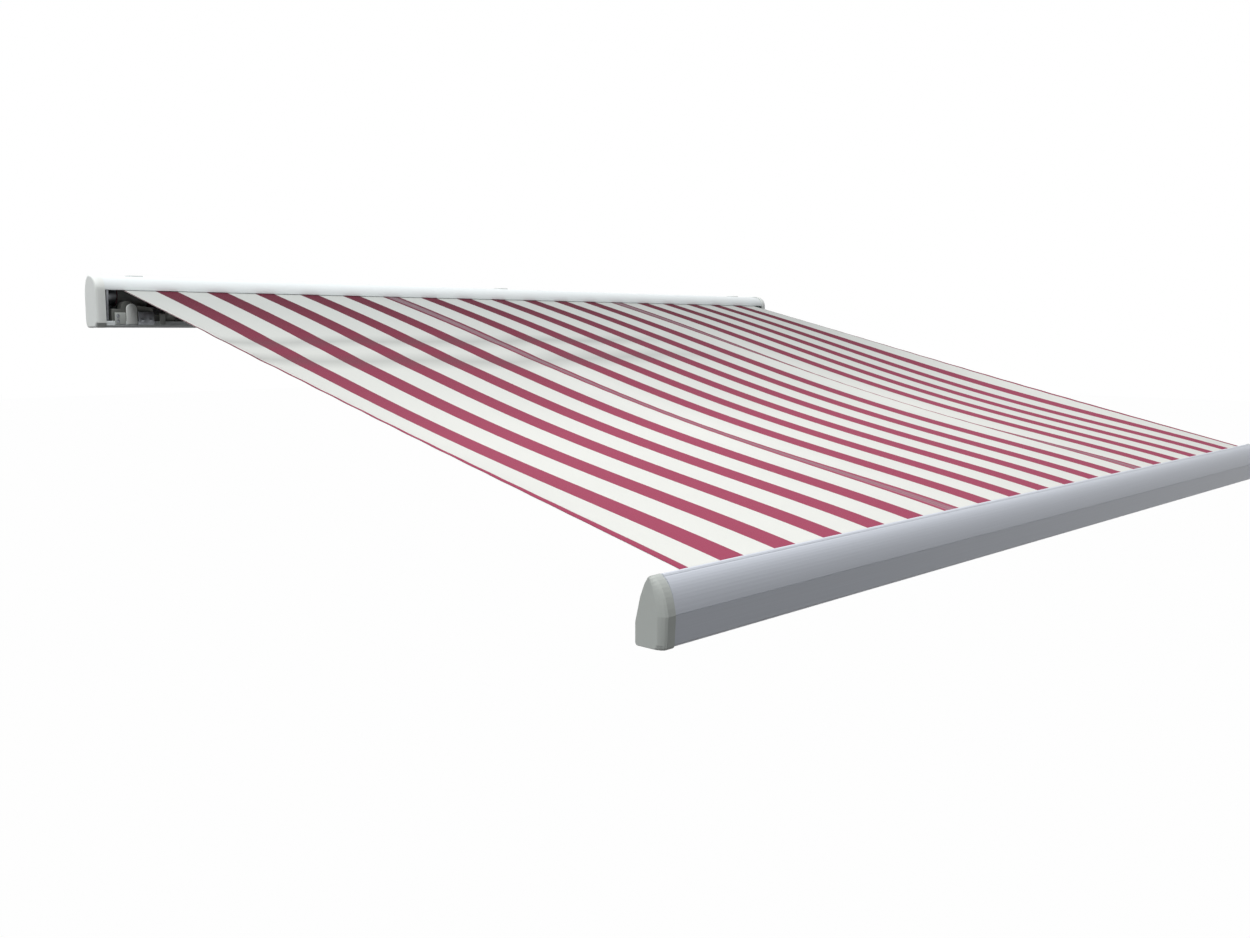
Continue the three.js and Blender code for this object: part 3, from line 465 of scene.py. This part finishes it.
def rolled_cloth():
    """Woven acrylic in wine red stripes on off-white, as it lies in the turns on the roll."""
    s = cloth_shader("cloth_rolled")
    flat = s.where()
    # Its colours are the darker hood-end tones, with the painted shade near the hood in them
    color = s.blend(stripe_mask(s, flat), srgb(195, 198, 195), srgb(96, 24, 46))
    s.link(yarn(s, flat, color), s.main.inputs["Base Color"])
    weave(s, flat)
    return s.material


def open_cloth():
    """The same cloth on the flat cut's own map: darker near the hood with painted shade, with seams and
    stitches.
    """
    s = cloth_shader("cloth")
    flat = s.node("ShaderNodeUVMap", uv_map=CUT_MAP).outputs[0]
    # Painted shade: white and red darker toward the hood
    hood_shade = s.ramp(s.split(flat)[1], *HOOD_SHADE_BETWEEN)
    white = s.blend(hood_shade, srgb(195, 198, 195), srgb(229, 229, 224))
    red = s.blend(hood_shade, srgb(96, 24, 46), srgb(162, 69, 95))
    color = s.blend(s.math("MAXIMUM", stripe_mask(s, flat), edge_mask(s, flat)), white, red)
    doubled, line = seam_masks(s, flat)
    stitches = stitch_mask(s, flat)
    layers = (
        # Painted shadow bands across the cloth near the hood
        (painted_shadow_bands(s, flat), BAND_SHADOW_STRENGTH, srgb(70, 76, 74)),
        (doubled, 0.32, srgb(186, 176, 182)),
        # Painted shadow of the fold along each edge of a seam's overlap
        (line, 0.6, srgb(104, 98, 102)),
        (stitches, 0.5, srgb(196, 190, 188)),
    )
    for mask, strength, shade in layers:
        color = s.blend(s.math("MULTIPLY", mask, strength), color, shade)
    s.link(yarn(s, flat, color), s.main.inputs["Base Color"])
    weave(s, flat)
    return s.bump(stitches, distance=0.0004).material


FINISHES = {
    "white_paint": white_paint(),
    "white_plastic": white_plastic(),
    "silver": silver(),
    "grey_plastic": grey_plastic(),
    "cast_aluminium": cast_aluminium(),
    "steel": steel(),
    "dark_plastic": dark_plastic(),
    "cloth": rolled_cloth(),
}

NODE_FINISHES = {"wall_bracket": bracket_paint(), "shoulder_console": casting_in_painted_shade()}


def smooth(mesh):
    for polygon in mesh.polygons:
        polygon.use_smooth = True


def dress_frame():
    """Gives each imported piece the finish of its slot, smooth curves and clean edges."""
    slot_of = {entry["node"]: entry["material_slot"] for entry in frame["record"]["subparts"]}
    for name, piece in frame["nodes"].items():
        kind = name.rsplit("_", 1)[0]
        piece.data.materials.clear()
        piece.data.materials.append(NODE_FINISHES.get(kind) or FINISHES[slot_of[name]])
        smooth(piece.data)
        piece.data.set_sharp_from_angle(angle=FRAME_SHARP)


# Cloth
def seam_middle(stripe):
    return stripe * STRIPE_PITCH - (STRIPES - 1) * STRIPE_PITCH / 2


def cloth_half_width():
    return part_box("fabric")[1].x


def middle(node):
    low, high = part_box(node)
    return (low + high) / 2


def cloth_line():
    """Where the cloth leaves the roll and its straight way to the rod in the front bar."""
    roll = middle("fabric_wrap")
    low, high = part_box("fabric_wrap")
    radius = (high.z - low.z) / 2 + ROLL_GAP
    rod = middle("front_keder_rod")
    to_rod = Vector((0, rod.y - roll.y, rod.z - roll.z))
    pitch = math.atan2(-to_rod.z, -to_rod.y) + math.asin(radius / to_rod.length)
    along = Vector((0, -math.cos(pitch), -math.sin(pitch)))
    up = Vector((0, -math.sin(pitch), math.cos(pitch)))
    length = math.sqrt(to_rod.length_squared - radius**2)
    return roll + up * radius, along, up, length


def cloth_offset(x, share, half_width):
    """How far the cloth stands off the straight line: it sags, the hems pull tight, the seams pucker."""
    to_hem = half_width - np.abs(x)
    slack = 1 - HEM_TIGHTNESS * np.exp(-to_hem / HEM_REACH)
    swell = np.sin(np.pi * share**SAG_PEAK_SHIFT) ** SAG_SHARPNESS
    pucker = np.zeros_like(x)
    for stripe, depth in zip(SEAM_STRIPES, SEAM_PUCKERS):
        u = (x - seam_middle(stripe)) / (RED_WIDTH / 2)
        pucker -= depth * u * np.exp((1 - u * u) / 2)
    return swell * (pucker - SAG_DEPTH * slack)


def uneven_wave(s, length, drift, rate, shift=0):
    """A wave down the cloth whose crests come a little early or late."""
    return np.sin(2 * np.pi * s / length + drift * np.sin(rate * s + shift))


def ripples(x, s, half_width):
    """Small waves beside the seams and hems, and a shallow hollow under each band of painted shadow."""
    wave = np.zeros_like(x)
    for stripe in SEAM_STRIPES:
        near_seam = np.exp(-np.abs(x - seam_middle(stripe)) / SEAM_RIPPLE_REACH)
        wave += SEAM_RIPPLE * near_seam * uneven_wave(s, length=0.09, drift=1.3, rate=5, shift=stripe)
    for place, half in HOLLOW_AND_SHADOW_BANDS:
        hollow = np.exp(-(((s - place) / half) ** 2))
        wave -= BAND_HOLLOW_DEPTH * hollow * np.clip(BAND_HOLLOW_END - x, 0, 1)
    near_hem = np.exp(-(half_width - np.abs(x)) / HEM_RIPPLE_REACH)
    return wave + HEM_RIPPLE * near_hem * uneven_wave(s, length=0.12, drift=2, rate=3)


def cloth_columns(half_width):
    """Places across the cloth: a column on each hem, stripe and seam edge and steps between them."""
    edges = [-half_width, -half_width + HEM_WIDTH, half_width - HEM_WIDTH, half_width]
    for stripe in range(STRIPES):
        edges += [seam_middle(stripe) - RED_WIDTH / 2, seam_middle(stripe) + RED_WIDTH / 2]
    for stripe in SEAM_STRIPES:
        for edge in (-SEAM_OVERLAP / 2, SEAM_OVERLAP / 2):
            at = seam_middle(stripe) + edge
            edges += [at, at + math.copysign(CLOTH_THICKNESS, edge)]
    edges.sort()
    columns = []
    for left, right in zip(edges, edges[1:]):
        steps = max(1, math.ceil((right - left) / COLUMN_STEP))
        columns += list(np.linspace(left, right, steps, endpoint=False))
    return np.array(columns + [edges[-1]])


def grid_mesh(name, points, flat):
    """A piece over a grid of points, rows by columns, with its flat places as a map."""
    rows, columns = points.shape[:2]
    index = np.arange(rows * columns).reshape(rows, columns)
    corners = [index[:-1, :-1], index[:-1, 1:], index[1:, 1:], index[1:, :-1]]
    quads = np.stack(corners, -1).reshape(-1, 4)
    mesh = bpy.data.meshes.new(name)
    mesh.from_pydata(points.reshape(-1, 3).tolist(), [], quads.tolist())
    places = flat.reshape(-1, 2)[quads.ravel()].astype(np.float32)
    mesh.uv_layers.new(name=CUT_MAP).data.foreach_set("uv", places.ravel())
    smooth(mesh)
    piece = bpy.data.objects.new(name, mesh)
    bpy.context.scene.collection.objects.link(piece)
    return piece


def settle(piece):
    """Replaces a piece's mesh by what its modifiers make of it."""
    graph = bpy.context.evaluated_depsgraph_get()
    mesh = bpy.data.meshes.new_from_object(piece.evaluated_get(graph))
    piece.modifiers.clear()
    piece.data = mesh
    return piece


def thicken(piece, thickness):
    solid = piece.modifiers.new("thickness", "SOLIDIFY")
    solid.thickness = thickness
    solid.offset = 0
    solid.use_even_offset = True
    return settle(piece)


def cloth_points(x, s, line, half_width, lift=0.0):
    """Points of the hanging cloth, from places across it and ways down from the roll."""
    start, along, up, length = line
    share = np.clip(s / length, 0, 1)
    waves = ripples(x, s, half_width) * np.sin(np.pi * share)
    off = cloth_offset(x, share, half_width) + waves + lift
    points = np.zeros(x.shape + (3,))
    to_hem = np.clip((half_width - np.abs(x)) / HEM_REACH, 0, 1)
    points[..., 0] = x + np.sign(x) * EDGE_SPREAD * share**2 * (1 - to_hem) ** 2
    points[..., 1] = start.y + along.y * s + up.y * off
    points[..., 2] = start.z + along.z * s + up.z * off
    return points


def awning_cloth(line, half_width, length):
    """The three panels, doubled where they overlap at the seams."""
    x, s = np.meshgrid(cloth_columns(half_width), np.linspace(0, length, CLOTH_ROWS))
    lift = np.zeros_like(x)
    for stripe in SEAM_STRIPES:
        lift[np.abs(x - seam_middle(stripe)) < SEAM_OVERLAP / 2 + SNAP] = CLOTH_THICKNESS
    points = cloth_points(x, s, line, half_width, lift)
    piece = grid_mesh("awning_cloth", points, np.stack([x, s], -1))
    piece.data.materials.append(open_cloth())
    return thicken(piece, CLOTH_THICKNESS)


def hem(name, side, line, half_width, length):
    """A second layer under the cloth's side border."""
    across = np.array(HEM_COLUMNS) * HEM_WIDTH
    x, s = np.meshgrid(side * (half_width - across), np.linspace(0, length, CLOTH_ROWS))
    points = cloth_points(x, s, line, half_width, -HEM_DROP)
    piece = grid_mesh(f"hem_{name}", points, np.stack([x, s], -1))
    piece.data.materials.append(bpy.data.materials["cloth"])
    return thicken(piece, CLOTH_THICKNESS)


def fold_with_arms(piece):
    """Gives the piece its own copy of its mesh."""
    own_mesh(piece)


def make_cloth():
    half_width = cloth_half_width()
    line = cloth_line()
    length = line[3] - ROD_GAP
    piece = awning_cloth(line, half_width, length)
    hems = [hem(name, side, line, half_width, length) for name, side in (("left", -1), ("right", 1))]
    for part in [piece, *hems]:
        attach(part, "root")
        fold_with_arms(part)
    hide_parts("fabric")


# Fine parts
def bevelled(name, mesh, slot, width, segments=3):
    """A finished piece on the cassette from plain faces: its edges rounded, shaded smooth."""
    piece = bpy.data.objects.new(name, mesh)
    bpy.context.scene.collection.objects.link(piece)
    round_off = piece.modifiers.new("edges", "BEVEL")
    round_off.width = width
    round_off.segments = segments
    round_off.limit_method = "ANGLE"
    round_off.angle_limit = BEVEL_FROM
    settle(piece)
    smooth(piece.data)
    piece.data.set_sharp_from_angle(angle=FINE_SHARP)
    piece.data.materials.append(FINISHES[slot])
    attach(piece, "root")


def prisms(name, parts):
    """A mesh of prisms along Y, each from an outline of x and z, a front and a back.

    Seen from the front, an outline runs counterclockwise.
    """
    corners, faces = [], []
    for outline, front, back in parts:
        first, count = len(corners), len(outline)
        corners += [(x, y, z) for y in (front, back) for x, z in outline]
        faces.append([first + k for k in range(count)])
        faces.append([first + count + k for k in reversed(range(count))])
        for k in range(count):
            after = (k + 1) % count
            faces.append([first + after, first + k, first + count + k, first + count + after])
    mesh = bpy.data.meshes.new(name)
    mesh.from_pydata(corners, [], faces)
    return mesh


def domed(middle_x, half, base, height, steps=10):
    """The outline of an upright cover with a round head."""
    arc = [math.pi * k / steps for k in range(steps + 1)]
    top = height - half
    head = [(middle_x + half * math.cos(a), base + top + half * math.sin(a)) for a in arc]
    return [(middle_x + half, base), *head, (middle_x - half, base)]


def ring(x, z, sides, radius):
    turns = [math.tau * k / sides + SCREW_TURN for k in range(sides)]
    return [(x + radius * math.cos(a), z + radius * math.sin(a)) for a in turns]


def screw_head(x, z, front):
    """A flanged hexagon head that stands on a face of the console."""
    flange = ring(x, z, FLANGE_SIDES, SCREW_RADIUS * FLANGE_SPREAD)
    hexagon = ring(x, z, 6, SCREW_RADIUS)
    parts = ((flange, front - FLANGE_HEIGHT, front), (hexagon, front - SCREW_HEIGHT, front))
    return prisms("screw_head", parts)


def console_fittings(name, side):
    """The cover, step, clamp block, stop and screws on the front of one shoulder console."""
    low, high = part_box(f"shoulder_console_{name}")
    base, front = low.z + CONSOLE_RIM, low.y
    outer = low.x if side < 0 else high.x
    outline = domed(outer - side * COVER_AT, COVER_HALF_WIDTH, base, COVER_HEIGHT)
    cover = prisms("cover", [(outline, front - COVER_FRONT, front)])
    bevelled(f"console_cover_{name}", cover, "white_plastic", COVER_EDGE)
    for kind, start, end, height, slot in BLOCKS:
        left, right = sorted((outer - side * start, outer - side * end))
        top = base + height
        outline = [(left, base), (right, base), (right, top), (left, top)]
        block = prisms(kind, [(outline, front - BLOCK_FRONT, front)])
        bevelled(f"console_{kind}_{name}", block, slot, BLOCK_EDGE)
    for k, (inward, up) in enumerate(SCREW_PLACES):
        head = screw_head(outer - side * inward, base + up, front - BLOCK_FRONT)
        bevelled(f"console_screw_{k}_{name}", head, "steel", SCREW_EDGE, segments=2)


# Camera, light and stage
def make_camera():
    camera = bpy.data.objects.new("camera", bpy.data.cameras.new("camera"))
    bpy.context.scene.collection.objects.link(camera)
    camera.data.sensor_width = SENSOR
    camera.data.lens = FOCAL_PIXELS / PHOTO_WIDTH * SENSOR
    forward = Vector((
        math.cos(CAMERA_YAW) * math.cos(CAMERA_PITCH),
        math.sin(CAMERA_YAW) * math.cos(CAMERA_PITCH),
        math.sin(CAMERA_PITCH),
    ))
    camera.location = CAMERA_AT
    camera.rotation_mode = "QUATERNION"
    camera.rotation_quaternion = forward.to_track_quat("-Z", "Y")
    bpy.context.scene.camera = camera


def area_light(name, place, target, size, power):
    light = bpy.data.lights.new(name, "AREA")
    light.size = size
    light.energy = power
    lamp = bpy.data.objects.new(name, light)
    bpy.context.scene.collection.objects.link(lamp)
    lamp.location = place
    lamp.rotation_mode = "QUATERNION"
    lamp.rotation_quaternion = (Vector(target) - Vector(place)).to_track_quat("-Z", "Y")


def mixed(tree, factor, first, second):
    mix = tree.nodes.new("ShaderNodeMixShader")
    for socket, source in zip(mix.inputs, (factor, first, second)):
        tree.links.new(source, socket)
    return mix.outputs[0]


def background_rays(tree):
    """1 for the rays that see the white background: from the camera, off gloss and through glass."""
    rays = tree.nodes.new("ShaderNodeLightPath")
    seen = rays.outputs["Is Camera Ray"]
    for kind in ("Is Glossy Ray", "Is Transmission Ray"):
        either = tree.nodes.new("ShaderNodeMath")
        either.operation = "MAXIMUM"
        tree.links.new(seen, either.inputs[0])
        tree.links.new(rays.outputs[kind], either.inputs[1])
        seen = either.outputs[0]
    return seen


def bright_side_height(tree):
    """How far the direction points to the bright side, from 0 away from it to 1 toward it."""
    place = tree.nodes.new("ShaderNodeTexCoord")
    lean = tree.nodes.new("ShaderNodeVectorMath")
    lean.operation = "DOT_PRODUCT"
    lean.inputs[1].default_value = Vector(BRIGHT_SIDE).normalized()
    tree.links.new(place.outputs["Generated"], lean.inputs[0])
    half = tree.nodes.new("ShaderNodeMath")
    half.operation = "MULTIPLY_ADD"
    half.inputs[1].default_value = 0.5
    half.inputs[2].default_value = 0.5
    tree.links.new(lean.outputs["Value"], half.inputs[0])
    return half.outputs[0]


def sky(tree):
    """The light around the piece: bright above, behind and to the left, dim below and in front."""
    ramp = tree.nodes.new("ShaderNodeValToRGB")
    elements = ramp.color_ramp.elements
    while len(elements) < len(AMBIENT_STOPS):
        elements.new(0.5)
    for element, (height, value) in zip(elements, AMBIENT_STOPS):
        element.position = (height + 1) / 2
        element.color = [value * c for c in AMBIENT_TINT] + [1]
    tree.links.new(bright_side_height(tree), ramp.inputs[0])
    background = tree.nodes.new("ShaderNodeBackground")
    background.inputs["Strength"].default_value = 1.0
    tree.links.new(ramp.outputs["Color"], background.inputs["Color"])
    return background.outputs[0]


def make_light():
    """A white background to look at, a sky that lights the piece, and one soft lamp."""
    world = bpy.data.worlds.new("studio")
    bpy.context.scene.world = world
    world.use_nodes = True
    tree = world.node_tree
    shown = tree.nodes["Background"]
    shown.inputs["Strength"].default_value = 1.0
    shown.inputs["Color"].default_value = WHITE
    surface = mixed(tree, background_rays(tree), sky(tree), shown.outputs[0])
    tree.links.new(surface, tree.nodes["World Output"].inputs["Surface"])
    area_light("key", KEY_AT, KEY_TOWARD, KEY_SIZE, KEY_POWER)


def floor_material():
    """Dim to the light that falls on the piece, and white to look at."""
    material = bpy.data.materials.new("floor")
    material.use_nodes = True
    tree = material.node_tree
    main = tree.nodes["Principled BSDF"]
    main.inputs["Base Color"].default_value = FLOOR_COLOR
    main.inputs["Roughness"].default_value = FLOOR_ROUGHNESS
    white = tree.nodes.new("ShaderNodeEmission")
    white.inputs["Color"].default_value = WHITE
    share = tree.nodes.new("ShaderNodeMath")
    share.operation = "MULTIPLY"
    share.inputs[1].default_value = FLOOR_WHITE
    tree.links.new(background_rays(tree), share.inputs[0])
    surface = mixed(tree, share.outputs[0], main.outputs[0], white.outputs[0])
    tree.links.new(surface, tree.nodes["Material Output"].inputs["Surface"])
    return material


def make_floor():
    mesh = bpy.data.meshes.new("floor")
    height = cad_high.z - FLOOR_DROP
    signs = ((-1, -1), (1, -1), (1, 1), (-1, 1))
    corners = [(x * FLOOR_REACH, y * FLOOR_REACH, height) for x, y in signs]
    mesh.from_pydata(corners, [], [(0, 1, 2, 3)])
    mesh.materials.append(floor_material())
    floor = bpy.data.objects.new("floor", mesh)
    bpy.context.scene.collection.objects.link(floor)


bpy.context.scene.view_settings.view_transform = "Standard"
dress_frame()
make_cloth()
console_fittings("left", -1)
console_fittings("right", 1)
make_camera()
make_light()
make_floor()
